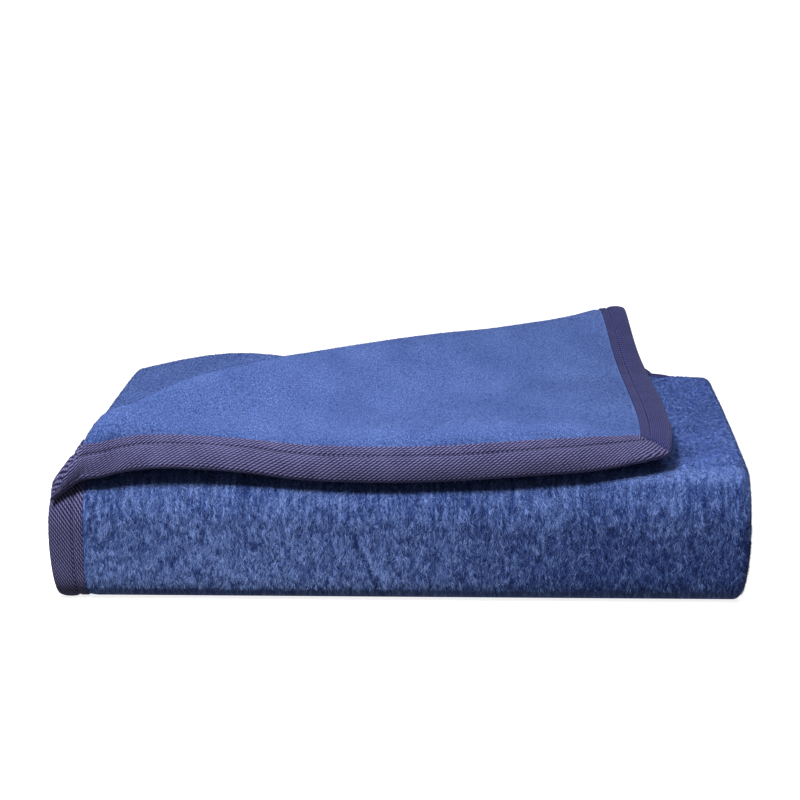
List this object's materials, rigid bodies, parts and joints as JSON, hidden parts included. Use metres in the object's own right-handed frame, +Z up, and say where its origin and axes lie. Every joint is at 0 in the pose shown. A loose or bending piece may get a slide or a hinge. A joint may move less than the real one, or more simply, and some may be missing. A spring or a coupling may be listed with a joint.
{
  "type": "folded cotton blanket",
  "caption": "Napped cotton blanket with a twill binding, folded into a thick pack with its top layer turned back over a soft diagonal fold.",
  "frame": {"origin": "middle of the underside's bounding box, on the surface that the folded blanket lies on", "axes": "+Z up; +X along the front edge, from the bound left side towards the folded right side; +Y from the smooth front face towards the rear"},
  "size_m": [0.4986, 0.4424, 0.1536],
  "materials": {
    "cotton_cloth": "napped cotton",
    "twill_binding": "woven twill tape"
  },
  "bodies": {
    "root": {"blanket_cloth": "cotton_cloth", "binding_side_outer": "twill_binding", "binding_side_inner": "twill_binding", "binding_end_top": "twill_binding", "binding_end_inner": "twill_binding"}
  },
  "joints": []
}
